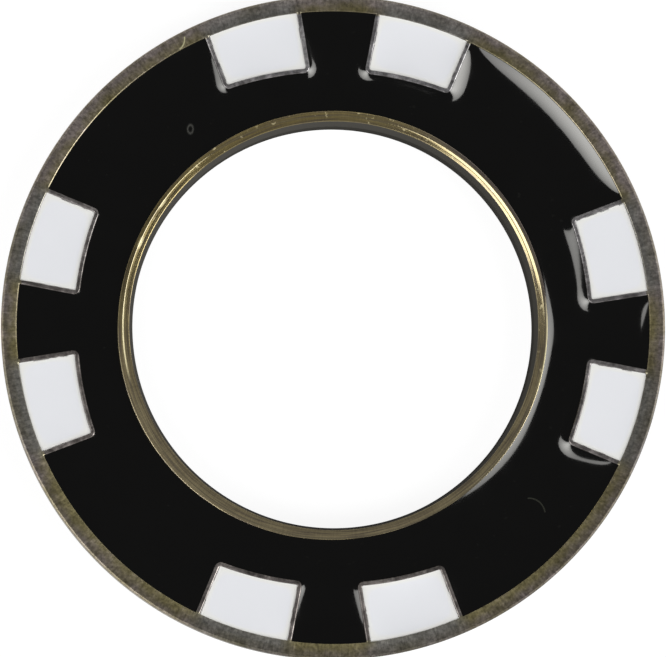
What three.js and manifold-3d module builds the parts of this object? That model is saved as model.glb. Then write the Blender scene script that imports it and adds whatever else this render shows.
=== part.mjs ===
// A poker chip made as a struck metal ring: both faces have sunk cells filled with black and white enamel.
// Units are millimetres, +Z is up, and the chip lies flat with the middle of its underside at the origin.
import * as THREE from "three";
import { mergeVertices } from "three/addons/utils/BufferGeometryUtils.js";
import Module from "manifold-3d";

const wasm = await Module();
wasm.setup();

// Ring blank. These widths leave a hole 24.2 mm across, which takes a 24 mm marker.
const chipDiameter = 40;
const chipThickness = 3;
const outerRimWidth = 0.95;
const enamelBandWidth = 6.05;
const innerRimWidth = 0.9;
const rimEdgeRadius = 0.22;

// Enamel cells, sunk into both faces
const cellDepth = 0.7;
const cellWallWidth = 0.25;
const enamelRecess = 0.2;
const enamelBondGap = 0.02;

// White edge spots, which stand in pairs against the outer rim
const spotPairs = 4;
const spotWidth = 5.2;
const spotLength = 3.3;
const spotPairGap = 4.5;
const spotSideTaper = THREE.MathUtils.degToRad(11.8);
const spotCornerRadius = 0.12;
const spotInnerArcOffset = 3.75;

// Facets of the round surfaces
const ringSegments = 80;
const spotArcSegments = 6;
const cornerSegments = 2;

// Radii and heights that the blank, its cells and the enamel share, about the chip's middle plane
const outerRadius = chipDiameter / 2;
const cellOuterRadius = outerRadius - outerRimWidth;
const cellInnerRadius = cellOuterRadius - enamelBandWidth;
const boreRadius = cellInnerRadius - innerRimWidth;
const faceHeight = chipThickness / 2;
const cellFloorHeight = faceHeight - cellDepth;
const enamelBottomHeight = cellFloorHeight + enamelBondGap;
const enamelTopHeight = faceHeight - enamelRecess;

// A spot's centreline runs out from the chip's centre, at this angle from the middle of its pair.
const spotMidRadius = cellOuterRadius - spotLength / 2;
const spotAngle =
  Math.atan2(spotWidth / 2, spotMidRadius) +
  Math.asin(spotPairGap / 2 / Math.hypot(spotMidRadius, spotWidth / 2));

const metal = new THREE.MeshStandardMaterial({
  color: 0x8d8466, roughness: 0.38, metalness: 1, flatShading: true,
});
const blackEnamel = new THREE.MeshStandardMaterial({
  color: 0x111112, roughness: 0.08, metalness: 0, flatShading: true,
});
const whiteEnamel = new THREE.MeshStandardMaterial({
  color: 0xe1e3e8, roughness: 0.12, metalness: 0, flatShading: true,
});

// A closed geometry as a solid that can be joined and cut.
function solidOf(geometry) {
  const bare = geometry.clone();
  bare.deleteAttribute("normal");
  bare.deleteAttribute("uv");
  const merged = mergeVertices(bare);
  return new wasm.Manifold(
    new wasm.Mesh({
      numProp: 3,
      vertProperties: new Float32Array(merged.attributes.position.array),
      triVerts: new Uint32Array(merged.index.array),
    }),
  );
}

// A solid back as a geometry.
function geometryOf(solid) {
  const { vertProperties, triVerts } = solid.getMesh();
  const geometry = new THREE.BufferGeometry();
  geometry.setAttribute("position", new THREE.BufferAttribute(vertProperties, 3));
  geometry.setIndex(new THREE.BufferAttribute(triVerts, 1));
  geometry.computeVertexNormals();
  return geometry;
}

// Points of an arc, both ends included.
function arcPoints(centre, radius, fromAngle, toAngle, segments) {
  return Array.from({ length: segments + 1 }, (_, i) => {
    const angle = fromAngle + ((toAngle - fromAngle) * i) / segments;
    return new THREE.Vector2(
      centre.x + radius * Math.cos(angle),
      centre.y + radius * Math.sin(angle),
    );
  });
}

// A ring turned about Z, whose section is a rectangle with rounded corners (radius 0 leaves them sharp).
function turnedRing(innerRadius, ringOuterRadius, lowHeight, highHeight, cornerRadius = 0) {
  const quarter = Math.PI / 2;
  const corners = [
    [ringOuterRadius - cornerRadius, lowHeight + cornerRadius, -quarter],
    [ringOuterRadius - cornerRadius, highHeight - cornerRadius, 0],
    [innerRadius + cornerRadius, highHeight - cornerRadius, quarter],
    [innerRadius + cornerRadius, lowHeight + cornerRadius, 2 * quarter],
  ];
  const section = corners.flatMap(([radius, height, start]) => {
    const centre = new THREE.Vector2(radius, height);
    return cornerRadius > 0
      ? arcPoints(centre, cornerRadius, start, start + quarter, cornerSegments)
      : [centre];
  });
  return new THREE.LatheGeometry([...section, section[0]], ringSegments).rotateX(quarter);
}

// The outline of a spot that lies along +X, grown outwards all round by a distance (shrunk if negative).
// Its sides taper towards the middle of the chip. The inner edges of a pair lie on one arc, whose centre
// is behind the chip's centre. The outer edge is an arc about the chip's centre.
function spotOutline(grow, outerEdgeRadius) {
  const taper = spotSideTaper / 2;
  const cornerRadius = spotCornerRadius + grow;
  const arcCentre = new THREE.Vector2(
    -spotInnerArcOffset * Math.cos(spotAngle),
    spotInnerArcOffset * Math.sin(spotAngle),
  );
  const innerEdge = new THREE.Vector2(cellOuterRadius - spotLength, 0);
  const arcRadius = innerEdge.distanceTo(arcCentre) - grow;
  const halfWidth = spotWidth / 2 + grow / Math.cos(taper);

  // Where a line parallel to a side, set inwards, leaves a circle on the far side from its centre.
  function onSide(side, inset, centre, radius) {
    const along = new THREE.Vector2(Math.cos(taper), side * Math.sin(taper));
    const inward = new THREE.Vector2(Math.sin(taper), -side * Math.cos(taper));
    const start = new THREE.Vector2(spotMidRadius, side * halfWidth).addScaledVector(inward, inset);
    const toStart = start.clone().sub(centre);
    const middle = -toStart.dot(along);
    const reach = Math.sqrt(middle * middle - toStart.lengthSq() + radius * radius);
    return start.addScaledVector(along, middle + reach);
  }

  const chipCentre = new THREE.Vector2();
  const [left, right] = [1, -1].map((side) => {
    const corner = onSide(side, cornerRadius, arcCentre, arcRadius + cornerRadius);
    const toArc = arcCentre.clone().sub(corner).angle();
    const toSide = side * (Math.PI / 2 + taper);
    const sweep = Math.atan2(Math.sin(toSide - toArc), Math.cos(toSide - toArc));
    return {
      fillet: arcPoints(corner, cornerRadius, toArc, toArc + sweep, cornerSegments),
      arcAngle: Math.atan2(corner.y - arcCentre.y, corner.x - arcCentre.x),
      outerAngle: onSide(side, 0, chipCentre, outerEdgeRadius).angle(),
    };
  });
  const rightOuterAngle = right.outerAngle - 2 * Math.PI;
  return [
    ...arcPoints(arcCentre, arcRadius, left.arcAngle, right.arcAngle, spotArcSegments).slice(1, -1),
    ...right.fillet,
    ...arcPoints(chipCentre, outerEdgeRadius, rightOuterAngle, left.outerAngle, spotArcSegments),
    ...left.fillet.reverse(),
  ];
}

// A spot's outline as a prism between two heights, turned to its place. Hand 1 stands on the left of
// its pair, seen from the middle of the chip, and hand -1 is its mirror image on the right.
function spotPrism(pair, hand, grow, outerEdgeRadius, lowHeight, highHeight) {
  const points = spotOutline(grow, outerEdgeRadius).map((p) => new THREE.Vector2(p.x, hand * p.y));
  const pairAngle = (2 * Math.PI * pair) / spotPairs;
  return new THREE.ExtrudeGeometry(new THREE.Shape(points), {
    depth: highHeight - lowHeight,
    bevelEnabled: false,
  })
    .translate(0, 0, lowHeight)
    .rotateZ(pairAngle + hand * spotAngle);
}

// Every spot's pair and hand, anticlockwise from the pair on +X.
const spotPlaces = Array.from({ length: spotPairs }, (_, pair) => [
  [pair, -1],
  [pair, 1],
]).flat();

// The black field between the rims, with a notch left for each spot grown by a margin.
function blackField(innerRadius, fieldOuterRadius, lowHeight, highHeight, spotMargin) {
  const notches = spotPlaces.map(([pair, hand]) =>
    solidOf(spotPrism(pair, hand, spotMargin, outerRadius, lowHeight - cellDepth, highHeight + cellDepth)),
  );
  const field = solidOf(turnedRing(innerRadius, fieldOuterRadius, lowHeight, highHeight));
  return notches.reduce((rest, notch) => rest.subtract(notch), field);
}

// The struck ring: rims, cell walls and floors are one piece of metal, alike on both faces.
function metalRing() {
  const edge = Math.min(rimEdgeRadius, outerRimWidth / 2, innerRimWidth / 2);
  const blank = solidOf(turnedRing(boreRadius, outerRadius, -faceHeight, faceHeight, edge));
  const above = faceHeight + cellDepth;
  const blackCell = blackField(cellInnerRadius, cellOuterRadius, cellFloorHeight, above, cellWallWidth);
  const whiteCells = spotPlaces.map(([pair, hand]) =>
    solidOf(spotPrism(pair, hand, 0, cellOuterRadius, cellFloorHeight, above)),
  );
  const cells = [blackCell, ...whiteCells];
  const turnedOver = cells.map((cell) => solidOf(geometryOf(cell).rotateX(Math.PI)));
  return [...cells, ...turnedOver].reduce((rest, cell) => rest.subtract(cell), blank);
}

// The enamel that fills one face's cells, a bond gap clear of the metal.
function enamelFace(face) {
  const group = new THREE.Group();
  const field = blackField(
    cellInnerRadius + enamelBondGap,
    cellOuterRadius - enamelBondGap,
    enamelBottomHeight,
    enamelTopHeight,
    cellWallWidth + enamelBondGap,
  );
  const black = new THREE.Mesh(geometryOf(field), blackEnamel);
  black.name = `${face}_black_enamel`;
  group.add(black);
  spotPlaces.forEach(([pair, hand], i) => {
    const prism = spotPrism(
      pair, hand, -enamelBondGap, cellOuterRadius - enamelBondGap, enamelBottomHeight, enamelTopHeight,
    );
    const white = new THREE.Mesh(prism, whiteEnamel);
    white.name = `${face}_white_spot_${i + 1}`;
    group.add(white);
  });
  return group;
}

const ring = new THREE.Mesh(geometryOf(metalRing()), metal);
ring.name = "metal_ring";
const front = enamelFace("front");
const back = enamelFace("back");
back.rotation.x = Math.PI;

const chip = new THREE.Group();
chip.add(ring, front, back);
chip.position.z = faceHeight;

const part = new THREE.Group();
part.add(chip);

export default part;
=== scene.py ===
import math
from types import SimpleNamespace

import bmesh
import bpy
import numpy as np
from mathutils import Matrix, Vector
from mathutils.geometry import delaunay_2d_cdt
from mathutils.kdtree import KDTree

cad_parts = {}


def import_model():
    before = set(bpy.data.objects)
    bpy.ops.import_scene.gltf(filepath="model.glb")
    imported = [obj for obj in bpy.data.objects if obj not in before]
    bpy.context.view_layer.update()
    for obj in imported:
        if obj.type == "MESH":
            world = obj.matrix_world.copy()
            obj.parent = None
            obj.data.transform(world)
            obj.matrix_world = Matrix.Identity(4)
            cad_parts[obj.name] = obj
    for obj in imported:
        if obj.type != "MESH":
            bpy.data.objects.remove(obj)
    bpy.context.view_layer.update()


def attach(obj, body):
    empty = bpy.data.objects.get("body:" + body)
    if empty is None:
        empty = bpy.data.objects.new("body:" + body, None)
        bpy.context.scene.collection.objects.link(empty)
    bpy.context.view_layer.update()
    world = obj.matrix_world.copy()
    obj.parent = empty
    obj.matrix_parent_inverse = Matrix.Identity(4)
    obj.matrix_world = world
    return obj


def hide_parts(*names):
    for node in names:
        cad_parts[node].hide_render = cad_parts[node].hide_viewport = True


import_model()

# Sizes of the chip, in millimetres
MM = 0.001
CHIP_RADIUS = 20.0
FACE_HEIGHT = 1.5
BORE_RADIUS = 12.1
CELL_OUTER_RADIUS = 19.05
CELL_INNER_RADIUS = 13.0
CELL_FLOOR_HEIGHT = 0.8
CELL_WALL = 0.25
INNER_WALL_RADIUS = 12.93
INNER_RIM_WIDTH = INNER_WALL_RADIUS - BORE_RADIUS
SPOT_PAIRS = 4
SPOT_WIDTH = 5.2
SPOT_LENGTH = 3.3
SPOT_PAIR_GAP = 4.5
SPOT_TAPER = math.radians(5.9)
SPOT_CORNER = 0.12
SPOT_ARC_OFFSET = 3.75
SPOT_MID_RADIUS = CELL_OUTER_RADIUS - SPOT_LENGTH / 2
SPOT_ANGLE = math.atan2(SPOT_WIDTH / 2, SPOT_MID_RADIUS) + math.asin(
    SPOT_PAIR_GAP / 2 / math.hypot(SPOT_MID_RADIUS, SPOT_WIDTH / 2)
)
SPOT_PLACES = [(pair, hand) for pair in range(SPOT_PAIRS) for hand in (-1, 1)]

# The inner rim's wall, lip and chamfer are a little uneven. The cosine and sine parts of an offset outwards
# are given for one wave round the chip, then for two and for three.
INNER_WALL_WAVES = ((-0.055, 0.075), (0.014, 0.054), (0.009, -0.036))
LIP_WAVES = ((0.003, -0.003), (-0.017, -0.016), (0.006, 0.008))
CHAMFER_WAVES = ((0.02, 0.1),)

# Rounding of the struck metal
OUTER_EDGE_RADIUS = 0.14
CELL_EDGE_RADIUS = 0.07
INNER_EDGE_RADIUS = 0.03
INNER_TOP_WIDTH = 0.145
INNER_TOP_TILT = math.radians(4)
LIP_RADIUS = 0.25
LIP_FOOT_RADIUS = 0.25
LIP_TILT = math.radians(15.5)
LAND_STRIPS = (
    (0.42, math.radians(11.6), math.radians(11.5)),
    (0.16, math.radians(10.2), math.radians(10.4)),
    (0.42, math.radians(11.25), math.radians(11.15)),
)
BORE_EDGE_RADIUS = 0.07
CHAMFER_WIDTH = 0.2
CHAMFER_TILTS = (math.radians(50), math.radians(58))

# How rubbed the metal is: 0 is dull oxide and 1 is bright
BORE_WEAR = 0.0
WALL_WEAR = 0.3
LAND_WEAR = 0.5
CELL_EDGE_WEAR = 0.57
OUTER_EDGE_WEAR = 0.6
LIP_WEAR = 1.0

# Enamel surface: it meets the walls a little below the rims and sinks to a hollow between them. A hollow or
# a height is given as its value at the chip's centre and what it gains at the chip's edge on +X and on +Y.
CONTACT_DROP = 0.1
BLACK_HOLLOW = (0.284, 0.22, 0.06)
INNER_CONTACT_HEIGHT = (-0.151, 0.063, 0.061)
WHITE_HOLLOWS = (0.06, 0.04, 0.24, 0.15, 0.04, 0.08, 0.05, 0.22)
HOLLOW_LENGTH = 1.0
ENAMEL_BOTTOM_HEIGHT = 0.82
ENAMEL_CLEARANCE = 0.004

# Marks: a burst bubble in the black enamel, a hair in it and a scratch on the outer rim, both bent to an
# arc, and painted glints of two dings and painted highlight lines on the inner rim. An arc shows between two
# corners, given from its centre. A painted highlight line reaches half its sweep to each side of its angle.
BUBBLE_PLACE = np.array((-8.81, 11.785))
BUBBLE_RADII = np.array((0.16, 0.25))
BUBBLE_HEIGHT = 0.008
BUBBLE_RIDGE = 0.27
HAIR = {"centre": (11.954, -11.065), "radius": 0.96, "width": 0.1, "low": (-0.1, 0.13), "high": (2, 2)}
RIM_SCRATCH = {
    "centre": (-10.05, 17.19), "radius": 0.8, "width": 0.1, "low": (0.5, -0.62), "high": (2, 0.14)
}
# Painted glints: two bright patches on the inner rim, where dings catch the light
DING_GLINTS = (
    {"centre": (-11.697, 4.869), "length": 1.0, "width": 0.34},
    {"centre": (-10.404, 7.231), "length": 1.0, "width": 0.22},
)
# Painted highlight lines: bright lines on the inner rim at the far right and far left, in place of the
# lamps' reflections in its edge
PAINTED_HIGHLIGHT_LINES = (
    {"angle": math.radians(-5), "sweep": math.radians(30), "radius": 12.88, "width": 0.16, "share": 1.0},
    {"angle": math.radians(184), "sweep": math.radians(26), "radius": 12.67, "width": 0.14, "share": 0.75},
)

# Fineness of the meshes. The bubble has rings of points, 1 being the top of its ridge.
RING_STEPS = 360
ROUND_STEPS = 5
SIDE_STEPS = 20
FILLET_STEPS = 6
INNER_ARC_STEPS = 30
OUTER_ARC_STEPS = 30
FIELD_STEPS = 70
SURFACE_INSETS = (0.05, 0.11, 0.18, 0.27, 0.38, 0.52, 0.7, 0.92, 1.16)
DEEPEST_WHITE_INSET = 0.8
SURFACE_GRID = 0.42
GRID_CLEARANCE = 0.8 * SURFACE_GRID
BUBBLE_RINGS = np.arange(0.2, 2.2, 0.2)
BUBBLE_STEPS = 28
JOIN_DISTANCE = 1e-7
SHARP_ANGLE = math.radians(50)
HOLLOW_ROUNDS = 2000
HOLLOW_REST = 1e-16


# Outlines, as arrays of points seen from above
def arc(centre, radius, start, end, steps):
    angle = np.linspace(start, end, steps + 1)
    return np.column_stack((centre[0] + radius * np.cos(angle), centre[1] + radius * np.sin(angle)))


def circle(radius, steps=RING_STEPS):
    return arc((0, 0), radius, 0, 2 * math.pi, steps)[:-1]


def line(start, end, steps):
    share = np.linspace(0, 1, steps + 1)[:, None]
    return start + (end - start) * share


def on_side(side, inset, half_width, centre, radius):
    """Where a line parallel to a spot's side, set inwards, leaves a circle."""
    along = np.array((math.cos(SPOT_TAPER), side * math.sin(SPOT_TAPER)))
    inward = np.array((math.sin(SPOT_TAPER), -side * math.cos(SPOT_TAPER)))
    start = np.array((SPOT_MID_RADIUS, side * half_width)) + inset * inward
    to_start = start - centre
    middle = -to_start @ along
    reach = math.sqrt(middle ** 2 - to_start @ to_start + radius ** 2)
    return start + along * (middle + reach)


def spot_path(pair, hand, grow, outer_radius):
    """A spot's first side, inner edge and second side, anticlockwise about the chip, grown by a distance."""
    corner_radius = SPOT_CORNER + grow
    arc_centre = SPOT_ARC_OFFSET * np.array((-math.cos(SPOT_ANGLE), math.sin(SPOT_ANGLE)))
    inner_edge = np.array((CELL_OUTER_RADIUS - SPOT_LENGTH, 0))
    arc_radius = np.linalg.norm(inner_edge - arc_centre) - grow
    half_width = SPOT_WIDTH / 2 + grow / math.cos(SPOT_TAPER)
    fillets, sides, ends = [], [], []
    for side in (-1, 1):
        corner = on_side(side, corner_radius, half_width, arc_centre, arc_radius + corner_radius)
        to_arc = math.atan2(*(arc_centre - corner)[::-1])
        sweep = (side * (math.pi / 2 + SPOT_TAPER) - to_arc + math.pi) % (2 * math.pi) - math.pi
        fillet = arc(corner, corner_radius, to_arc, to_arc + sweep, FILLET_STEPS)
        fillets.append(fillet)
        sides.append(line(fillet[-1], on_side(side, 0, half_width, np.zeros(2), outer_radius), SIDE_STEPS))
        ends.append(math.atan2(*(corner - arc_centre)[::-1]))
    path = np.vstack((
        sides[0][:0:-1],
        fillets[0][:0:-1],
        arc(arc_centre, arc_radius, *ends, INNER_ARC_STEPS),
        fillets[1][1:],
        sides[1][1:],
    ))
    if hand < 0:
        path = path[::-1] * (1, -1)
    turn = 2 * math.pi * pair / SPOT_PAIRS + hand * SPOT_ANGLE
    return path @ np.array(((math.cos(turn), math.sin(turn)), (-math.sin(turn), math.cos(turn))))


def joining_arc(start, end, steps):
    """The points between two points at the same distance from the chip's centre."""
    first = math.atan2(start[1], start[0])
    last = math.atan2(end[1], end[0])
    sweep = (last - first + math.pi) % (2 * math.pi) - math.pi
    return arc((0, 0), np.hypot(*start), first, first + sweep, steps)[1:-1]


def wavy(waves):
    """Offsets round the chip, from the parts of each wave."""
    angle = np.linspace(0, 2 * math.pi, RING_STEPS, endpoint=False)
    offset = np.zeros(RING_STEPS)
    for count, (cosine, sine) in enumerate(waves, 1):
        offset += cosine * np.cos(count * angle) + sine * np.sin(count * angle)
    return offset


def inner_wall(grow):
    """The inner edge of the black cell, grown by a distance."""
    return circle(1) * (INNER_WALL_RADIUS + wavy(INNER_WALL_WAVES) + grow)[:, None]


def white_outline(pair, hand, grow):
    """The edge of a white cell, grown by a distance."""
    path = spot_path(pair, hand, grow, CELL_OUTER_RADIUS + grow)
    return np.vstack((path, joining_arc(path[-1], path[0], OUTER_ARC_STEPS)))


def black_outline(inset):
    """The outer edge of the black cell with its notches, set in by a distance."""
    paths = [spot_path(*place, CELL_WALL + inset, CELL_OUTER_RADIUS - inset) for place in SPOT_PLACES]
    parts = []
    for path, following in zip(paths, paths[1:] + paths[:1]):
        parts += [path, joining_arc(path[-1], following[0], FIELD_STEPS)]
    return np.vstack(parts)


def sideways(outline):
    """Unit vectors square to a closed outline, pointing away from what it encloses."""
    step = np.roll(outline, -1, axis=0) - np.roll(outline, 1, axis=0)
    turned = np.column_stack((step[:, 1], -step[:, 0])) / np.linalg.norm(step, axis=1)[:, None]
    following = np.roll(outline, -1, axis=0)
    area = np.sum(outline[:, 0] * following[:, 1] - outline[:, 1] * following[:, 0])
    return turned * np.sign(area)


def triangulate(loops, extra, keep):
    """Triangles over closed loops and loose points. keep says which triangle middles to keep."""
    points = np.vstack(loops + [extra]) if len(extra) else np.vstack(loops)
    edges = []
    first = 0
    for loop in loops:
        count = len(loop)
        edges += [(first + i, first + (i + 1) % count) for i in range(count)]
        first += count
    found = delaunay_2d_cdt([Vector(p) for p in points], edges, [], 0, JOIN_DISTANCE)
    faces = np.array(found[2])
    middles = points[faces].mean(axis=1)
    return points, faces[keep(middles)]


def inside(points, outline):
    """Which points lie inside a closed outline."""
    x, y = points[:, 0], points[:, 1]
    result = np.zeros(len(points), dtype=bool)
    for a, b in zip(outline, np.roll(outline, -1, axis=0)):
        crosses = (a[1] > y) != (b[1] > y)
        if a[1] != b[1]:
            result ^= crosses & (x < (b[0] - a[0]) * (y - a[1]) / (b[1] - a[1]) + a[0])
    return result


# The struck ring
class Shell:
    """A mesh under construction, with a normal and a wear for each of its points."""

    def __init__(self):
        self.points = []
        self.normals = []
        self.wear = []
        self.faces = []

    def loop(self, outline, height, normals, wear):
        first = len(self.points)
        self.points += [(x, y, height) for x, y in outline]
        self.normals += [tuple(n) for n in normals]
        self.wear += [wear] * len(outline)
        return list(range(first, first + len(outline)))

    def turned(self, radius, height, tilt, wear, offset=np.zeros(RING_STEPS), spread=np.zeros(RING_STEPS)):
        """A loop round the axis, whose normals point away from it, raised by an angle.

        Each of its points can be offset outwards. Spread is how much wider that makes its part of the rim,
        as a share of its width, and the slope is gentler where the rim is wider.
        """
        outward = circle(1)
        normals = np.column_stack((outward * math.cos(tilt), math.sin(tilt) * (1 + spread)))
        normals /= np.linalg.norm(normals, axis=1)[:, None]
        return self.loop(outward * (radius + offset)[:, None], height, normals, wear)

    def bridge(self, one, other):
        count = len(one)
        for i in range(count):
            j = (i + 1) % count
            self.faces.append((one[i], one[j], other[j], other[i]))

    def chain(self, loops):
        for one, other in zip(loops, loops[1:]):
            self.bridge(one, other)

    def fill(self, loops, keep):
        outlines = [np.array([self.points[i][:2] for i in loop]) for loop in loops]
        names = np.array([i for loop in loops for i in loop])
        faces = triangulate(outlines, [], keep)[1]
        self.faces += [tuple(names[f]) for f in faces]

    def mesh(self, name):
        mesh = solid_mesh(name, np.array(self.points) + (0, 0, FACE_HEIGHT), self.faces)
        mesh.shade_smooth()
        mesh.normals_split_custom_set_from_vertices(self.normals)
        store(mesh, "wear", self.wear)
        return mesh


def solid_mesh(name, points, faces):
    """A mesh from points in millimetres, with every face turned outwards."""
    mesh = bpy.data.meshes.new(name)
    mesh.from_pydata((points * MM).tolist(), [], faces)
    work = bmesh.new()
    work.from_mesh(mesh)
    bmesh.ops.recalc_face_normals(work, faces=work.faces)
    work.to_mesh(mesh)
    work.free()
    return mesh


def store(mesh, name, values):
    """One number for each point of a mesh, for its material to read."""
    layer = mesh.attributes.new(name, "FLOAT", "POINT")
    layer.data.foreach_set("value", np.array(values, dtype=np.float32))


def edge_wear(tilt, wall_wear, most):
    """Wear along a rounding, from the wall's at no tilt to the land's at a right angle, most in between."""
    between = wall_wear + (LAND_WEAR - wall_wear) * math.sin(tilt)
    return between + (most - between) * math.sin(2 * tilt)


def cell_loops(shell, outline_at, side):
    """Loops from a cell's rounded edge on the land, down its wall to its floor.

    outline_at gives the edge of the cell grown by a distance, and side is 1 on the front and -1 on the back.
    """
    radius = CELL_EDGE_RADIUS
    steps = []
    for tilt in np.linspace(math.pi / 2, 0, ROUND_STEPS):
        height = FACE_HEIGHT - radius + radius * math.sin(tilt)
        steps.append((tilt, height, edge_wear(tilt, WALL_WEAR, CELL_EDGE_WEAR)))
    steps.append((0, CELL_FLOOR_HEIGHT, WALL_WEAR))
    loops = []
    for tilt, height, wear in steps:
        outline = outline_at(radius * (1 - math.cos(tilt)))
        flat = -sideways(outline) * math.cos(tilt)
        normals = np.column_stack((flat, np.full(len(flat), side * math.sin(tilt))))
        loops.append(shell.loop(outline, side * height, normals, wear))
    return loops


def inner_rim_profile():
    """Radius, height, tilt, wear, offset and spread from the black cell's floor to the bore.

    The rim has a rounded outer edge, a narrow top with a low lip, a land that slopes to the bore in three
    strips, and a steep chamfer that is off centre. Its outer edge follows the cell's uneven wall, and its
    bore is round.
    """
    up = math.pi / 2
    top = up + INNER_TOP_TILT
    foot = up + LIP_TILT
    land_start = up + LAND_STRIPS[0][1]
    land_end = up + LAND_STRIPS[-1][2]
    chamfer_start, chamfer_end = (up + tilt for tilt in CHAMFER_TILTS)

    def bend(width, first, last, *wear):
        return (width / (math.cos(first) - math.cos(last)), first, last, *wear)

    def bends_width(some):
        return sum(radius * (math.cos(first) - math.cos(last)) for radius, first, last, _, _ in some)

    outer_bends = [
        (INNER_EDGE_RADIUS, 0, up, BORE_WEAR, LAND_WEAR),
        bend(INNER_TOP_WIDTH, up, top, LAND_WEAR, LAND_WEAR),
        (LIP_RADIUS, top, foot, LAND_WEAR, LIP_WEAR),
        (-LIP_FOOT_RADIUS, foot, land_start, LIP_WEAR, LAND_WEAR),
    ]
    bore_bends = [
        (BORE_EDGE_RADIUS, land_end, chamfer_start, LAND_WEAR, BORE_WEAR),
        bend(CHAMFER_WIDTH, chamfer_start, chamfer_end, BORE_WEAR, BORE_WEAR),
        (BORE_EDGE_RADIUS, chamfer_end, math.pi, BORE_WEAR, BORE_WEAR),
    ]
    land_width = INNER_RIM_WIDTH - bends_width(outer_bends + bore_bends)
    land_bends = [
        bend(share * land_width, up + first, up + last, LAND_WEAR, LAND_WEAR)
        for share, first, last in LAND_STRIPS
    ]

    point = np.zeros(2)
    profile = [(*point, 0.0, WALL_WEAR)]
    for radius, first, last, first_wear, last_wear in outer_bends + land_bends + bore_bends:
        centre = point - radius * np.array((math.cos(first), math.sin(first)))
        for share in np.linspace(0, 1, 2 * ROUND_STEPS)[1:]:
            tilt = first + (last - first) * share
            wear = first_wear + (last_wear - first_wear) * share
            point = centre + radius * np.array((math.cos(tilt), math.sin(tilt)))
            profile.append((*point, tilt, wear))
    highest = max(height for _, height, _, _ in profile)

    top_width = INNER_EDGE_RADIUS + INNER_TOP_WIDTH
    rest_width = INNER_RIM_WIDTH - top_width
    chamfer_start_width = INNER_RIM_WIDTH - bends_width(bore_bends)
    wall, lip, chamfer = (wavy(waves) for waves in (INNER_WALL_WAVES, LIP_WAVES, CHAMFER_WAVES))
    bore = np.zeros(RING_STEPS)
    widths = (0.0, top_width, chamfer_start_width, INNER_RIM_WIDTH)
    offsets = (wall, lip, chamfer, bore)
    loops = [(INNER_WALL_RADIUS, CELL_FLOOR_HEIGHT, 0.0, WALL_WEAR, wall)]
    for out, up_by, tilt, wear in profile:
        part = np.searchsorted(widths[1:-1], -out)
        share = (-out - widths[part]) / (widths[part + 1] - widths[part])
        offset = offsets[part] + (offsets[part + 1] - offsets[part]) * share
        spread = (wall - lip) / top_width if part == 0 else lip / rest_width
        height = FACE_HEIGHT + up_by - highest
        loops.append((INNER_WALL_RADIUS + out, height, tilt, wear, offset, spread))
    return loops


def outer_rim_profile():
    """Radius, height, tilt and wear from the chip's outer edge to the outer rim's land."""
    edge = OUTER_EDGE_RADIUS
    return [
        (
            CHIP_RADIUS - edge + edge * math.cos(tilt),
            FACE_HEIGHT - edge + edge * math.sin(tilt),
            tilt,
            edge_wear(tilt, LAND_WEAR, OUTER_EDGE_WEAR),
        )
        for tilt in np.linspace(0, math.pi / 2, 2 * ROUND_STEPS)
    ]


def ring_mesh():
    shell = Shell()
    black_floor = black_outline(0)
    black_edge = black_outline(-CELL_EDGE_RADIUS)
    white_edges = [white_outline(*place, CELL_EDGE_RADIUS) for place in SPOT_PLACES]

    def on_land(middles):
        free = ~inside(middles, black_edge)
        for white_edge in white_edges:
            free &= ~inside(middles, white_edge)
        return free

    def on_floor(middles):
        return inside(middles, black_floor) & ~inside(middles, inner_wall(0))

    def turned_rim(profile, side):
        return [
            shell.turned(radius, side * height, side * tilt, *rest)
            for radius, height, tilt, *rest in profile
        ]

    def white_cell(place, side):
        return cell_loops(shell, lambda grow: white_outline(*place, grow), side)

    rim_ends, bore_ends = [], []
    for side in (1, -1):
        outer = turned_rim(outer_rim_profile(), side)
        inner = turned_rim(inner_rim_profile(), side)
        black_cell = cell_loops(shell, lambda grow: black_outline(-grow), side)
        white_cells = [white_cell(place, side) for place in SPOT_PLACES]
        for loops in [outer, inner, black_cell] + white_cells:
            shell.chain(loops)
        rim_ends.append(outer[0])
        bore_ends.append(inner[-1])

        shell.fill([outer[-1], black_cell[0]] + [loops[0] for loops in white_cells], on_land)
        shell.fill([black_cell[-1], inner[0]], on_floor)
        for place, loops in zip(SPOT_PLACES, white_cells):
            shell.fill([loops[-1]], lambda middles, at=place: inside(middles, white_outline(*at, 0)))
    shell.bridge(*rim_ends)
    shell.bridge(*bore_ends)
    return shell.mesh("ring")


# The enamel
def hollow(points, faces, edge_height):
    """Heights of a skin pinned at its edges, which sinks to zero within the hollow length of them."""
    count = len(points)
    corners = points[faces]
    area = np.zeros(count)
    ends, weights = [], []
    for i in range(3):
        a, b, c = (corners[:, (i + k) % 3] for k in range(3))
        one, other = b - a, c - a
        cross = np.abs(one[:, 0] * other[:, 1] - one[:, 1] * other[:, 0])
        weights.append(np.sum(one * other, axis=1) / cross / 2)
        ends.append(faces[:, [(i + 1) % 3, (i + 2) % 3]])
        area += np.bincount(faces[:, i], cross / 6, count)
    ends = np.vstack(ends)
    weights = np.concatenate(weights)
    pull = area / HOLLOW_LENGTH ** 2
    pinned = ~np.isnan(edge_height)

    def balance(height):
        flow = weights * (height[ends[:, 0]] - height[ends[:, 1]])
        total = np.bincount(ends[:, 0], flow, count) - np.bincount(ends[:, 1], flow, count)
        return total + pull * height

    scale = np.bincount(ends[:, 0], weights, count) + np.bincount(ends[:, 1], weights, count) + pull
    height = np.where(pinned, edge_height, 0.0)
    rest = np.where(pinned, 0.0, -balance(height))
    ready = rest / scale
    heading = ready.copy()
    strength = rest @ ready
    for _ in range(HOLLOW_ROUNDS):
        if strength < HOLLOW_REST:
            break
        pushed = np.where(pinned, 0.0, balance(heading))
        share = strength / (heading @ pushed)
        height += share * heading
        rest -= share * pushed
        ready = rest / scale
        renewed = rest @ ready
        heading = ready + heading * (renewed / strength)
        strength = renewed
    return height


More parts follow.
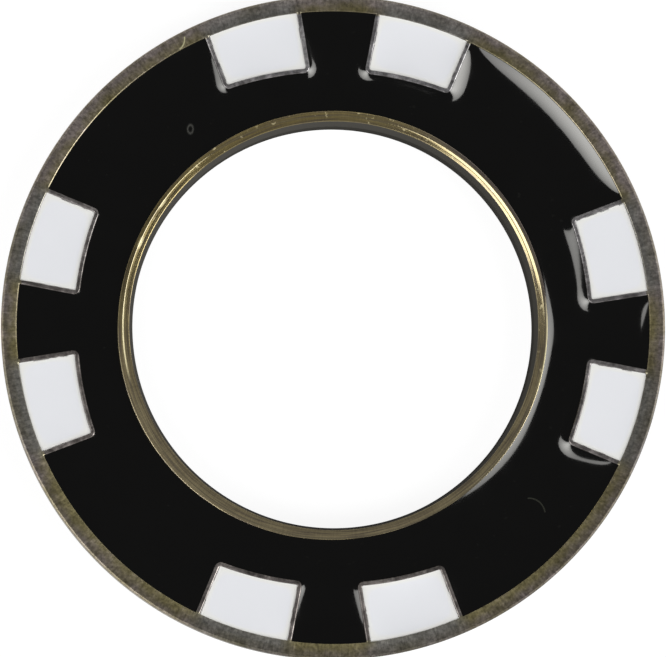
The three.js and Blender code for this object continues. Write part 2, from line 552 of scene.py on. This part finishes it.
def slanted(values, points):
    """A value that changes evenly over the chip, at each point."""
    middle, gain_x, gain_y = values
    return middle + (gain_x * points[:, 0] + gain_y * points[:, 1]) / CHIP_RADIUS


def grid_points(low, high):
    x, y = np.meshgrid(np.arange(low[0], high[0], SURFACE_GRID), np.arange(low[1], high[1], SURFACE_GRID))
    x[1::2] += SURFACE_GRID / 2
    return np.column_stack((x.ravel(), y.ravel()))


def clear_of(points, others, distance):
    tree = KDTree(len(others))
    for i, p in enumerate(others):
        tree.insert((p[0], p[1], 0), i)
    tree.balance()
    near = np.array([tree.find((p[0], p[1], 0))[2] for p in points])
    return points[near > distance]


def enamel_mesh(name, edges, edge_heights, depth, loose, keep, mark=None):
    """A closed fill: a hollow top pinned at its edges, straight sides and a flat bottom."""
    grid = grid_points(edges[0].min(axis=0), edges[0].max(axis=0))
    grid = clear_of(grid[keep(grid)], np.vstack(edges + [loose]), GRID_CLEARANCE)
    points, faces = triangulate(edges, np.vstack((loose, grid)), keep)
    sunk = slanted(depth, points)
    pinned = np.full(len(points), np.nan)
    rims = []
    first = 0
    for edge, height in zip(edges, edge_heights):
        rim = np.arange(first, first + len(edge))
        pinned[rim] = sunk[rim] + slanted(height, edge)
        rims.append(rim)
        first += len(edge)
    climb = hollow(points, faces, pinned)
    height = FACE_HEIGHT - CONTACT_DROP - sunk + climb
    if mark is not None:
        height += mark(points)

    edge_count = first
    below = np.column_stack((points[:edge_count], np.full(edge_count, ENAMEL_BOTTOM_HEIGHT)))
    shell_points = np.vstack((np.column_stack((points, height)), below))
    shell_faces = [tuple(f) for f in faces]
    for rim in rims:
        for i, j in zip(rim, np.roll(rim, -1)):
            shell_faces.append((i, j, j + len(points), i + len(points)))
    bottom = triangulate(edges, [], keep)[1]
    shell_faces += [tuple(f + len(points)) for f in bottom]
    mesh = solid_mesh(name, shell_points, shell_faces)
    mesh.shade_smooth()
    mesh.set_sharp_from_angle(angle=SHARP_ANGLE)
    marked = np.zeros(len(points)) if mark is None else mark(points) / BUBBLE_HEIGHT
    store(mesh, "mark", np.concatenate((marked, np.zeros(edge_count))))
    store(mesh, "climb", np.concatenate((climb / sunk, np.ones(edge_count))))
    return mesh


def bubble_distance(points):
    """Distance from the bubble's middle, where 1 is the top of its ridge."""
    return np.linalg.norm((points - BUBBLE_PLACE) / BUBBLE_RADII, axis=1)


def bubble_ridge(points):
    return BUBBLE_HEIGHT * np.exp(-(((bubble_distance(points) - 1) / BUBBLE_RIDGE) ** 2))


def black_mesh(mark):
    edges = [black_outline(ENAMEL_CLEARANCE), inner_wall(ENAMEL_CLEARANCE)]
    loose = [black_outline(inset) for inset in SURFACE_INSETS]
    loose += [inner_wall(inset) for inset in SURFACE_INSETS]
    loose += [BUBBLE_PLACE + circle(ring, BUBBLE_STEPS) * BUBBLE_RADII for ring in BUBBLE_RINGS]

    def keep(points):
        return inside(points, edges[0]) & ~inside(points, edges[1])

    heights = ((0.0, 0.0, 0.0), INNER_CONTACT_HEIGHT)
    return enamel_mesh("black_enamel", edges, heights, BLACK_HOLLOW, np.vstack(loose), keep, mark)


def white_mesh(pair, hand, depth):
    edge = white_outline(pair, hand, -ENAMEL_CLEARANCE)
    insets = [inset for inset in SURFACE_INSETS if inset < DEEPEST_WHITE_INSET]
    loose = np.vstack([white_outline(pair, hand, -inset) for inset in insets])
    level = (0.0, 0.0, 0.0)
    return enamel_mesh(
        "white_enamel", [edge], [level], (depth, 0.0, 0.0), loose, lambda points: inside(points, edge)
    )


# Materials and other nodes. A noise runs from 0 to 1 but is mostly between the usual values.
USUAL_NOISE = (0.3, 0.7)


class Nodes:
    """The nodes of a material, a lamp or a world, added one call at a time before its last one."""

    def __init__(self, owner, last):
        owner.use_nodes = True
        self.owner = owner
        self.tree = owner.node_tree
        self.last = self.tree.nodes[last]

    def put(self, socket, value):
        if isinstance(value, bpy.types.NodeSocket):
            self.tree.links.new(value, socket)
        elif socket.type == "RGBA":
            socket.default_value = (*value, 1)
        else:
            socket.default_value = value

    def add(self, kind, inputs=None, **settings):
        made = self.tree.nodes.new(kind)
        for key, value in settings.items():
            setattr(made, key, value)
        for key, value in (inputs or {}).items():
            self.put(made.inputs[key], value)
        return made

    def place(self):
        return self.add("ShaderNodeTexCoord").outputs["Object"]

    def stored(self, name):
        return self.add("ShaderNodeAttribute", attribute_name=name).outputs["Fac"]

    def math(self, operation, *values):
        return self.add("ShaderNodeMath", dict(enumerate(values)), operation=operation).outputs[0]

    def product(self, first, *others):
        for other in others:
            first = self.math("MULTIPLY", first, other)
        return first

    def total(self, first, *others):
        for other in others:
            first = self.math("ADD", first, other)
        return first

    def vector(self, operation, *values):
        made = self.add("ShaderNodeVectorMath", operation=operation)
        sockets = [socket for socket in made.inputs if socket.enabled]
        for socket, value in zip(sockets, values):
            self.put(socket, value)
        return next(socket for socket in made.outputs if socket.enabled)

    def parts(self, vector):
        return self.add("ShaderNodeSeparateXYZ", {0: vector}).outputs

    def noise(self, place, scale, detail=2.0, roughness=0.5):
        inputs = {"Vector": place, "Scale": scale, "Detail": detail, "Roughness": roughness}
        return self.add("ShaderNodeTexNoise", inputs).outputs["Fac"]

    def span(self, value, low, high, to_low=0.0, to_high=1.0, smooth=False):
        inputs = {"Value": value, "From Min": low, "From Max": high, "To Min": to_low, "To Max": to_high}
        kind = "SMOOTHSTEP" if smooth else "LINEAR"
        return self.add("ShaderNodeMapRange", inputs, interpolation_type=kind).outputs[0]

    def swing(self, noise, amount, middle=1.0):
        """A noise as a value that swings to both sides of a middle."""
        return self.span(noise, *USUAL_NOISE, middle - amount, middle + amount)

    def between(self, share, one, other):
        return self.add("ShaderNodeMix", {0: share, 2: one, 3: other}).outputs[0]

    def blend(self, share, one, other):
        """A colour between two colours."""
        made = self.add("ShaderNodeMix", {0: share}, data_type="RGBA")
        sockets = [socket for socket in made.inputs if socket.type == "RGBA"]
        self.put(sockets[0], one)
        self.put(sockets[1], other)
        return next(socket for socket in made.outputs if socket.type == "RGBA")

    def shaded(self, colour, shade):
        return self.vector("SCALE", colour, shade)

    def bump(self, height, strength, distance):
        inputs = {"Height": height, "Strength": strength, "Distance": distance}
        return self.add("ShaderNodeBump", inputs).outputs[0]

    def bent_line(self, place, centre, radius, width, low, high):
        """1 on a thin arc of the front face, between two corners."""
        from_centre = self.vector("SUBTRACT", place, (centre[0] * MM, centre[1] * MM, 0))
        x, y, z = self.parts(from_centre)
        distance = self.vector("LENGTH", self.vector("MULTIPLY", from_centre, (1, 1, 0)))
        off = self.math("ABSOLUTE", self.math("SUBTRACT", distance, radius * MM))
        share = self.span(off, width / 2 * MM, width / 4 * MM)
        for value, test, limit in (
            (x, "GREATER_THAN", low[0]), (x, "LESS_THAN", high[0]),
            (y, "GREATER_THAN", low[1]), (y, "LESS_THAN", high[1]),
            (z, "GREATER_THAN", FACE_HEIGHT),
        ):
            share = self.product(share, self.math(test, value, limit * MM))
        return share

    def long_mark(self, place, centre, length, width):
        """1 in the middle of a small patch of the front face that lies along a rim, and 0 at its edge."""
        from_centre = self.vector("SUBTRACT", place, (centre[0] * MM, centre[1] * MM, 0))
        out_x, out_y = np.array(centre) / np.hypot(*centre) / MM * 2
        across = self.vector("DOT_PRODUCT", from_centre, (out_x / width, out_y / width, 0))
        along = self.vector("DOT_PRODUCT", from_centre, (-out_y / length, out_x / length, 0))
        both = self.add("ShaderNodeCombineXYZ", {"X": across, "Y": along}).outputs[0]
        distance = self.vector("LENGTH", both)
        on_front = self.math("GREATER_THAN", self.parts(place)[2], FACE_HEIGHT * MM)
        full_share = 0.4
        return self.product(self.span(distance, 1, full_share), on_front)

    def seen(self):
        """1 for what the camera sees, straight, in a gloss or through glass, and 0 for cast light."""
        path = self.add("ShaderNodeLightPath").outputs
        straight = self.math("MAXIMUM", path["Is Camera Ray"], path["Is Glossy Ray"])
        return self.math("MAXIMUM", straight, path["Is Transmission Ray"])

    def finish(self, **sockets):
        for key, value in sockets.items():
            self.put(self.last.inputs[key.replace("_", " ")], value)
        return self.owner


def new_material(name):
    return Nodes(bpy.data.materials.new(name), "Principled BSDF")


# Patterns in waves to the metre. Rubbing marks have waves to the radian round the chip, then to the metre
# across the rim.
MOTTLE_SCALE = 1500
BLOTCH_SCALE = 400
GRAIN_SCALE = 5000
GLINT_SCALE = 2600
SHORT_MARK_SCALES = (200, 1200)
ROUND_MARK_SCALES = (5, 12000)
GLOSS_SCALE = 700
BLACK_CLOUD_SCALE = 300
BLACK_SPECK_SCALE = 2500
WHITE_CLOUD_SCALE = 400

# Values of a pattern between which a mark or a colour comes in
GLINT_NOISE = (0.64, 0.72)
SPECK_NOISE = (0.74, 0.8)
WALL_PATCH_NOISE = (0.35, 0.65)
RED_NOISE = (0.5, 0.35)

# Sides of the chip: a direction, and how closely a point's own direction agrees with it where the side
# starts and where it is full
UPPER_SIDE = (0.4, 0.9, -0.5, 0.9)
UPPER_LEFT_SIDE = (-0.6, 0.8, 0.2, 0.9)
UPPER_RIGHT_SIDE = (0.87, 0.5, 0.75, 0.92)
LEFT_SIDE = (-0.93, 0.37, 0.9, 0.98)
RIGHT_SIDE = (0.99, -0.1, 0.8, 0.97)
LOWER_LEFT_SIDE = (-0.88, -0.47, 0.85, 0.98)
LOWER_RIGHT_SIDE = (0.87, -0.5, 0.85, 0.97)
BOTTOM_RIGHT_SIDE = (0.5, -0.87, 0.45, 0.75)

# Radii between which the inner rim gives way to the outer parts, and the outer rim to the spots' walls
OUTER_SPAN = (CELL_INNER_RADIUS + 1, CELL_INNER_RADIUS + 2)
WALL_SPAN = (CELL_OUTER_RADIUS - 0.05, CELL_OUTER_RADIUS - 0.12)

# Places across the outer rim, as shares of the way from the cells to the chip's edge
BROWN_SPAN = (0.2, 0.7)
SHADE_SPAN = (0.0, 0.6)
GREY_SPAN = (0.3, 0.9)
ROUGH_EDGE_SPAN = (0.8, 0.9)
BOTTOM_EDGE_SPAN = (0.78, 0.88)

# Places across the inner rim, as shares of the way from the bore to the black cell
LIP_SPAN = (0.35, 0.5)
LAND_SPAN = (0.2, 0.7)
TOP_SPAN = (0.72, 0.8)

# Angles from the middle of a pair, between which the rim lies beside a spot
SPOT_START = (math.radians(6), math.radians(9))
SPOT_END = (math.radians(26), math.radians(23))

# Colours of the outer rim and the spots' walls
OLIVE = (0.27, 0.234, 0.115)
BROWN = (0.25, 0.213, 0.195)
GREY = (0.225, 0.219, 0.206)
# The spots' walls: dark grey, warmer at the bottom of the chip and cooler at the top
WARM_WALL_GREY = (0.178, 0.159, 0.15)
COOL_WALL_GREY = (0.16, 0.155, 0.158)
EDGE_GOLD = (0.5, 0.44, 0.28)
SCRATCH_GOLD = (0.9, 0.85, 0.5)

# Colours of the inner rim and the bore
LOWER_GOLD = (0.73, 0.61, 0.36)
UPPER_GOLD = (0.58, 0.48, 0.26)
UPPER_LEFT_GOLD = (0.54, 0.43, 0.185)
RED_GOLD = (0.5, 0.4, 0.36)
# Painted shade: the darker gold of the inner rim's top at the upper right
SHADED_TOP_GOLD = (0.36, 0.3, 0.25)
# Painted highlights: the bright gold of the glints, the dings and the lines on the inner rim
HIGHLIGHT_GOLD = (0.93, 0.83, 0.5)
OXIDE = (0.065, 0.062, 0.055)

# How far each pattern swings the shade of a rim, and the outer rim's brown
OUTER_SWINGS = {"short": 0.18, "grain": 0.36, "mottle": 0.34, "blotch": 0.1}
INNER_SWINGS = {"short": 0.14, "around": 0.35}
BROWN_SWINGS = {"mottle": 0.3, "blotch": 0.35}

# Shares of a colour or a mark. Grey is given near the cells and at the chip's edge. Painted glints come in
# between two shares of the upper side, and painted highlights and the look of metal end at a share of oxide.
BROWN_AT_TOP = 0.45
BROWN_AT_EDGE = 0.6
GREY_SHARES = (0.9, 0.4)
RED_SHARE = 0.5
GLINT_SHARE = 0.7
GLINT_SIDE = (0.3, 0.7)
DING_GLINT_SHARE = 0.8
HIGHLIGHT_OXIDE_LIMIT = 0.3
METAL_OXIDE_LIMIT = 0.8
BRIGHT_WALL_SHARE = 0.3
# Painted shade: more oxide on the inner rim's outer edge at the lower left dims its reflection there; less
# at the right lets it shine
LOWER_LEFT_SHADE_OXIDE_GAIN = 1.0
RIGHT_OXIDE_LOSS = 0.85

# Shades, which darken below 1 and lighten above it. A pair is for dark and light patches, for the bottom
# and the top of the chip, or for the two ends of a span across a rim. All of them but the patches and the
# land's are painted shade and light.
WALL_PATCH_SHADES = (0.63, 1.37)
WALL_PAINTED_SHADES = (1.15, 1.8)
LOWER_RIM_PAINTED_SHADES = (1.27, 0.86)
UPPER_RIM_PAINTED_SHADES = (0.85, 1.12)
LAND_SHADES = (0.8, 1.1)
LOWER_RIGHT_PAINTED_SHADE = 0.8
BOTTOM_EDGE_PAINTED_SHADE = 0.6
LEFT_LIP_PAINTED_SHADE = 0.62

# Finish of the metal. A roughness has a swing and a middle.
INNER_METALLIC = 0.88
OUTER_METALLIC = 0.66
HIGHLIGHT_METALLIC = 0.4
METAL_GLOSS = 0.5
INNER_ROUGHNESS = (0.025, 0.065)
OUTER_ROUGHNESS = (0.05, 0.19)
EDGE_ROUGHNESS = 0.45
GRAIN_HEIGHT = 0.02
GRAIN_STRENGTH = 0.15

# Colours and finish of the enamel
BLACK = (0.0004, 0.0004, 0.0005)
BLACK_CLOUD = (0.0012, 0.0012, 0.0013)
BLACK_SPECK = (0.004, 0.004, 0.0036)
# Painted sheen: the grey of the burst bubble's ridge
BUBBLE_SHEEN_GREY = (0.05, 0.05, 0.045)
HAIR_GREY = (0.024, 0.025, 0.019)
BLACK_GLOSS = 0.92
BLACK_GLOSS_TINT = (1, 0.99, 0.95)
WHITE = (0.755, 0.765, 0.795)
WHITE_CLOUD = (0.775, 0.783, 0.81)
# Painted reflection: the warm tint where the white climbs its brass walls
WHITE_EDGE_REFLECTION = (0.79, 0.787, 0.76)
WHITE_REFLECTION_CLIMB = (0.8, 0.93)
WHITE_GLOSS = 0.55
ENAMEL_ROUGHNESS = (0.02, 0.07)


def ring_places(nodes):
    """Where a point of the ring is, mostly as shares that are 1 at the named place and 0 away from it."""
    here = nodes.place()
    flat = nodes.vector("MULTIPLY", here, (1, 1, 0))
    radius = nodes.vector("LENGTH", flat)
    outward = nodes.vector("NORMALIZE", flat)

    def facing(x, y, low, high):
        return nodes.span(nodes.vector("DOT_PRODUCT", outward, (x, y, 0)), low, high)

    def from_to(start, end):
        return nodes.span(radius, start * MM, end * MM)

    outer = from_to(*OUTER_SPAN)
    towards_edge = from_to(CELL_OUTER_RADIUS, CHIP_RADIUS)
    towards_cell = from_to(BORE_RADIUS, CELL_INNER_RADIUS)
    x, y, _ = nodes.parts(here)
    fold = nodes.math("PINGPONG", nodes.math("ARCTAN2", y, x), math.pi / SPOT_PAIRS)
    at_spot = nodes.product(nodes.span(fold, *SPOT_START), nodes.span(fold, *SPOT_END))
    return SimpleNamespace(
        here=here,
        radius=radius,
        outward=outward,
        facing=facing,
        outer=outer,
        towards_edge=towards_edge,
        towards_cell=towards_cell,
        upper=facing(*UPPER_SIDE),
        on_wall=nodes.product(from_to(*WALL_SPAN), outer),
        on_top=nodes.span(towards_cell, *TOP_SPAN),
        beside_spot=nodes.product(at_spot, nodes.span(towards_edge, *GREY_SPAN, *GREY_SHARES)),
        bottom_edge=nodes.product(
            facing(*BOTTOM_RIGHT_SIDE), nodes.span(towards_edge, *BOTTOM_EDGE_SPAN)
        ),
    )


def ring_marks(nodes, at):
    """Patterns in the metal, with short rubbing marks across the rims and fine ones round them."""
    depth = nodes.add("ShaderNodeCombineXYZ", {"Z": at.radius}).outputs[0]

    def rubbing(round_scale, across_scale):
        side = nodes.vector("MULTIPLY", at.outward, (round_scale, round_scale, 0))
        across = nodes.vector("MULTIPLY", depth, (0, 0, across_scale))
        return nodes.noise(nodes.vector("ADD", side, across), scale=1.0, detail=3)

    return {
        "mottle": nodes.noise(at.here, MOTTLE_SCALE, detail=4, roughness=0.6),
        "blotch": nodes.noise(at.here, BLOTCH_SCALE),
        "grain": nodes.noise(at.here, GRAIN_SCALE, detail=3, roughness=0.6),
        "short": rubbing(*SHORT_MARK_SCALES),
        "around": rubbing(*ROUND_MARK_SCALES),
    }


def swings(nodes, marks, amounts, middle=1.0):
    return [nodes.swing(marks[name], amount, middle) for name, amount in amounts.items()]


def outer_tarnish_and_shade(nodes, at, marks):
    """Olive, browner towards the edge and the top, grey beside the spots, dark grey on walls, and painted
    shade.
    """
    brown = nodes.total(
        nodes.product(at.upper, BROWN_AT_TOP),
        nodes.span(at.towards_edge, *BROWN_SPAN, 0, BROWN_AT_EDGE),
        *swings(nodes, marks, BROWN_SWINGS, 0.0),
    )
    # The walls are dark grey in patches, and painted light makes them lighter towards the top of the chip
    wall_shade = nodes.product(
        nodes.span(marks["mottle"], *WALL_PATCH_NOISE, *WALL_PATCH_SHADES), nodes.between(at.upper, *WALL_PAINTED_SHADES)
    )
    wall_grey = nodes.shaded(nodes.blend(at.upper, WARM_WALL_GREY, COOL_WALL_GREY), wall_shade)
    colour = nodes.blend(brown, OLIVE, BROWN)
    colour = nodes.blend(at.beside_spot, colour, GREY)
    colour = nodes.blend(at.on_wall, colour, wall_grey)

    # Painted shade and light: towards the chip's edge the outer rim darkens at the bottom and lightens at
    # the top
    rim_painted_shade = nodes.between(
        at.upper,
        nodes.span(at.towards_edge, *SHADE_SPAN, *LOWER_RIM_PAINTED_SHADES),
        nodes.span(at.towards_edge, *SHADE_SPAN, *UPPER_RIM_PAINTED_SHADES),
    )
    shade = nodes.product(
        nodes.between(at.on_wall, rim_painted_shade, 1),
        # Painted shade on the outer rim at the lower right
        nodes.between(at.facing(*LOWER_RIGHT_SIDE), 1, LOWER_RIGHT_PAINTED_SHADE),
        # Painted shade on the chip's outer edge at the bottom, where the lamps' reflection is dimmed
        nodes.between(at.bottom_edge, 1, BOTTOM_EDGE_PAINTED_SHADE),
        *swings(nodes, marks, OUTER_SWINGS),
    )
    return nodes.shaded(colour, shade)


def inner_gold(nodes, at, marks):
    """Golden, paler at the bottom, redder in fine marks; painted shade on the upper right top and the left
    lip.
    """
    colour = nodes.blend(at.upper, LOWER_GOLD, UPPER_GOLD)
    colour = nodes.blend(at.facing(*UPPER_LEFT_SIDE), colour, UPPER_LEFT_GOLD)
    colour = nodes.blend(nodes.span(marks["around"], *RED_NOISE, 0, RED_SHARE), colour, RED_GOLD)
    # Painted shade on the top at the upper right
    colour = nodes.blend(nodes.product(at.on_top, at.facing(*UPPER_RIGHT_SIDE)), colour, SHADED_TOP_GOLD)
    # Painted shade dims the lip at the left of the chip
    left_lip = nodes.product(at.facing(*LEFT_SIDE), nodes.span(at.towards_cell, *LIP_SPAN))
    shade = nodes.product(
        nodes.between(left_lip, 1, LEFT_LIP_PAINTED_SHADE),
        nodes.span(at.towards_cell, *LAND_SPAN, *LAND_SHADES),
        *swings(nodes, marks, INNER_SWINGS),
    )
    return nodes.shaded(colour, shade)


def dull_places(nodes, at, wear):
    """1 on oxide. The inner rim's outer edge has more at the lower left as painted shade, less at the right.
    """
    edge_oxide_and_shade = nodes.total(
        1,
        nodes.product(at.facing(*LOWER_LEFT_SIDE), LOWER_LEFT_SHADE_OXIDE_GAIN),
        nodes.product(at.facing(*RIGHT_SIDE), -RIGHT_OXIDE_LOSS),
    )
    oxide = nodes.span(wear, LAND_WEAR, BORE_WEAR)
    return nodes.math("MINIMUM", nodes.product(oxide, nodes.between(at.on_top, 1, edge_oxide_and_shade)), 1)


def painted_highlight_line(nodes, at, angle, sweep, radius, width, share):
    """A painted highlight: a share on a thin line along a rim, on both faces."""
    reach = sweep / 2
    on_arc = at.facing(math.cos(angle), math.sin(angle), math.cos(reach), math.cos(reach / 2))
    off = nodes.math("ABSOLUTE", nodes.math("SUBTRACT", at.radius, radius * MM))
    return nodes.product(on_arc, nodes.span(off, width / 2 * MM, width / 4 * MM), share)


def painted_highlight_places(nodes, at):
    """1 where the inner rim has painted highlights: glints in its upper half, dings and lines."""
    glint = nodes.product(
        nodes.span(nodes.noise(at.here, GLINT_SCALE), *GLINT_NOISE),
        nodes.span(at.upper, *GLINT_SIDE),
        nodes.between(at.outer, GLINT_SHARE, 0),
    )
    marks = [nodes.product(nodes.long_mark(at.here, **ding_glint), DING_GLINT_SHARE) for ding_glint in DING_GLINTS]
    marks += [painted_highlight_line(nodes, at, **highlight_line) for highlight_line in PAINTED_HIGHLIGHT_LINES]
    painted_highlight = glint
    for mark in marks:
        painted_highlight = nodes.math("MAXIMUM", painted_highlight, mark)
    return painted_highlight


def brass():
    """Tarnished rims with painted shade, bright edges, a dull bore and painted highlights in places."""
    nodes = new_material("antique_brass")
    at = ring_places(nodes)
    marks = ring_marks(nodes, at)
    wear = nodes.stored("wear")
    dull = dull_places(nodes, at, wear)
    # Painted highlights: glints, dings and lines, in a bright gold that is less metallic
    painted_highlight = nodes.product(painted_highlight_places(nodes, at), nodes.span(dull, 0, HIGHLIGHT_OXIDE_LIMIT, 1, 0))
    bright = nodes.product(
        nodes.span(wear, LAND_WEAR, LIP_WEAR),
        nodes.between(at.on_wall, 1, BRIGHT_WALL_SHARE),
        # Painted shade: the bright edge gold is left off the bottom edge
        nodes.between(at.bottom_edge, 1, 0),
    )
    colour = nodes.blend(at.outer, inner_gold(nodes, at, marks), outer_tarnish_and_shade(nodes, at, marks))
    colour = nodes.blend(nodes.bent_line(at.here, **RIM_SCRATCH), colour, SCRATCH_GOLD)
    colour = nodes.blend(bright, colour, EDGE_GOLD)
    colour = nodes.blend(dull, colour, OXIDE)
    colour = nodes.blend(painted_highlight, colour, HIGHLIGHT_GOLD)
    metallic = nodes.product(
        nodes.between(at.outer, INNER_METALLIC, OUTER_METALLIC),
        nodes.span(dull, 0, METAL_OXIDE_LIMIT, 1, 0),
        nodes.between(painted_highlight, 1, HIGHLIGHT_METALLIC),
    )
    inner_rough = nodes.swing(marks["around"], *INNER_ROUGHNESS)
    outer_rough = nodes.swing(marks["grain"], *OUTER_ROUGHNESS)
    on_edge = nodes.span(at.towards_edge, *ROUGH_EDGE_SPAN)
    outer_rough = nodes.between(on_edge, outer_rough, EDGE_ROUGHNESS)
    grain = nodes.product(marks["grain"], at.outer)
    return nodes.finish(
        Base_Color=colour,
        Metallic=metallic,
        Specular_IOR_Level=nodes.between(dull, METAL_GLOSS, 0),
        Roughness=nodes.between(at.outer, inner_rough, outer_rough),
        Normal=nodes.bump(grain, GRAIN_STRENGTH, GRAIN_HEIGHT * MM),
    )


def enamel_roughness(nodes, here):
    return nodes.swing(nodes.noise(here, GLOSS_SCALE), *ENAMEL_ROUGHNESS)


def black_enamel():
    """Nearly black, with pale specks, a painted sheen on the burst bubble, and the hair."""
    nodes = new_material("black_enamel")
    here = nodes.place()
    speck = nodes.span(nodes.noise(here, BLACK_SPECK_SCALE, detail=1), *SPECK_NOISE)
    colour = nodes.blend(nodes.noise(here, BLACK_CLOUD_SCALE, detail=3), BLACK, BLACK_CLOUD)
    colour = nodes.blend(speck, colour, BLACK_SPECK)
    # Painted sheen: the burst bubble's ridge is grey
    colour = nodes.blend(nodes.stored("mark"), colour, BUBBLE_SHEEN_GREY)
    colour = nodes.blend(nodes.bent_line(here, **HAIR), colour, HAIR_GREY)
    return nodes.finish(
        Base_Color=colour,
        Roughness=enamel_roughness(nodes, here),
        Specular_IOR_Level=BLACK_GLOSS,
        Specular_Tint=BLACK_GLOSS_TINT,
    )


def white_enamel():
    """A slightly cool white, with a painted warm reflection of the brass walls where it climbs them."""
    nodes = new_material("white_enamel")
    here = nodes.place()
    wall_reflection = nodes.span(nodes.stored("climb"), *WHITE_REFLECTION_CLIMB)
    colour = nodes.blend(nodes.noise(here, WHITE_CLOUD_SCALE, detail=3), WHITE, WHITE_CLOUD)
    # Painted reflection of the brass walls, which also lightens the shade beside them
    colour = nodes.blend(wall_reflection, colour, WHITE_EDGE_REFLECTION)
    return nodes.finish(
        Base_Color=colour,
        Roughness=enamel_roughness(nodes, here),
        Specular_IOR_Level=WHITE_GLOSS,
    )


# Pieces
def piece(name, mesh, material, node, matrix=None):
    made = bpy.data.objects.new(name, mesh)
    bpy.context.scene.collection.objects.link(made)
    if matrix is not None:
        mesh.transform(matrix)
    mesh.materials.append(material)
    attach(made, "root")
    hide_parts(node)


lift = Matrix.Translation((0, 0, FACE_HEIGHT * MM))
faces = {"front": lift, "back": lift @ Matrix.Rotation(math.pi, 4, "X")}
metal, black, white = brass(), black_enamel(), white_enamel()

piece("ring", ring_mesh(), metal, "metal_ring")
black_fills = {"front": black_mesh(bubble_ridge), "back": black_mesh(None)}
white_fills = [white_mesh(*spot, depth) for spot, depth in zip(SPOT_PLACES, WHITE_HOLLOWS)]
for face, place in faces.items():
    piece(f"{face}_black", black_fills[face], black, f"{face}_black_enamel", place)
    for i, fill in enumerate(white_fills, 1):
        piece(f"{face}_white_{i}", fill.copy(), white, f"{face}_white_spot_{i}", place)


# Floor, light and camera
FLOOR_SIZE = 12
FLOOR_GREY = (0.15, 0.15, 0.15)
FLOOR_ROUGHNESS = 0.9
FLOOR_GLOW = 0.9
WHITE_LIGHT = (1, 1, 1)
LAMP_DISTANCE = 2.0
LAMP_EDGE_SHARE = 0.35
LEFT_BOX = {
    "radiance": 6.1,
    "azimuth": 216.6,
    "polar": 42,
    "twist": 0,
    "half_width": 0.276,
    "half_height": 0.492,
}
RIGHT_BOX = {
    "radiance": 7.1,
    "azimuth": -22.2,
    "polar": 53,
    "twist": -12.4,
    "half_width": 0.286,
    "half_height": 0.596,
}
HORIZON_GLOW = 0.45
HORIZON_HEIGHT = 0.15
OVERHEAD_GLOW = 0.07
OVERHEAD_HEIGHT = 0.6
BACKDROP_HEIGHTS = (0.12, 0.08)


def floor():
    """A plain floor that the camera and the chip's gloss see as white."""
    bpy.ops.mesh.primitive_grid_add(x_subdivisions=4, y_subdivisions=4, size=FLOOR_SIZE)
    made = bpy.context.object
    made.name = "floor"
    nodes = new_material("floor")
    made.data.materials.append(
        nodes.finish(
            Base_Color=FLOOR_GREY,
            Roughness=FLOOR_ROUGHNESS,
            Emission_Color=WHITE_LIGHT,
            Emission_Strength=nodes.product(nodes.seen(), FLOOR_GLOW),
        )
    )


def lamp(name, radiance, azimuth, polar, twist, half_width, half_height):
    """A soft box that faces the chip, seen from it at an azimuth and an angle from straight up, in degrees.

    Its half sizes are given as shares of its distance, and twist turns it in its own plane. It is brightest
    in its middle.
    """
    data = bpy.data.lights.new(name, "AREA")
    data.shape = "RECTANGLE"
    data.size = 2 * half_width * LAMP_DISTANCE
    data.size_y = 2 * half_height * LAMP_DISTANCE
    data.energy = radiance * math.pi * data.size * data.size_y
    nodes = Nodes(data, "Emission")

    def falloff(share):
        off = nodes.math("MULTIPLY_ADD", share, 2, -1)
        return nodes.math("SUBTRACT", 1, nodes.product(off, off))

    across, along, _ = nodes.parts(nodes.add("ShaderNodeNewGeometry").outputs["Parametric"])
    middle = nodes.product(falloff(across), falloff(along))
    nodes.finish(Strength=nodes.span(middle, 0, 1, LAMP_EDGE_SHARE, 1))

    made = bpy.data.objects.new(name, data)
    bpy.context.scene.collection.objects.link(made)
    azimuth, polar = math.radians(azimuth), math.radians(polar)
    away = Vector((
        math.sin(polar) * math.cos(azimuth), math.sin(polar) * math.sin(azimuth), math.cos(polar)
    ))
    right = Vector((-math.sin(azimuth), math.cos(azimuth), 0))
    up = away.cross(right)
    turned = Matrix((right, up, away)).transposed() @ Matrix.Rotation(math.radians(twist), 3, "Z")
    made.matrix_world = turned.to_4x4()
    made.matrix_world.translation = away * LAMP_DISTANCE


def world():
    """Dim overhead, lighter towards the horizon, and white there to the camera and in a gloss."""
    made = bpy.data.worlds.new("studio")
    bpy.context.scene.world = made
    nodes = Nodes(made, "Background")
    height = nodes.parts(nodes.add("ShaderNodeTexCoord").outputs["Generated"])[2]
    glow = nodes.span(height, HORIZON_HEIGHT, OVERHEAD_HEIGHT, HORIZON_GLOW, OVERHEAD_GLOW, smooth=True)
    backdrop = nodes.product(nodes.seen(), nodes.span(height, *BACKDROP_HEIGHTS))
    nodes.finish(Color=WHITE_LIGHT, Strength=nodes.math("MAXIMUM", glow, backdrop))


def camera():
    """Looks almost straight down, from a little left of and below the middle of the picture."""
    distance = 0.4
    image_width = 666
    chip_pixels = 332.6
    lean_x, lean_y = math.radians(2.5), math.radians(3.1)
    roll = math.radians(0.86)
    aim = Vector((-0.0475, -0.105, 2 * FACE_HEIGHT)) * MM
    data = bpy.data.cameras.new("camera")
    data.sensor_width = 36
    data.lens = chip_pixels / image_width * data.sensor_width * distance / (CHIP_RADIUS * MM)
    data.clip_start = 0.01
    data.clip_end = 20
    made = bpy.data.objects.new("camera", data)
    bpy.context.scene.collection.objects.link(made)
    away = Vector((-math.sin(lean_x), -math.sin(lean_y), 0))
    away.z = math.sqrt(1 - away.length_squared)
    up = Vector((-math.sin(roll), math.cos(roll), 0))
    right = up.cross(away).normalized()
    up = away.cross(right)
    made.matrix_world = Matrix((right, up, away)).transposed().to_4x4()
    made.matrix_world.translation = aim + away * distance
    bpy.context.scene.camera = made


floor()
lamp("left_box", **LEFT_BOX)
lamp("right_box", **RIGHT_BOX)
world()
camera()
bpy.context.scene.view_settings.view_transform = "Standard"
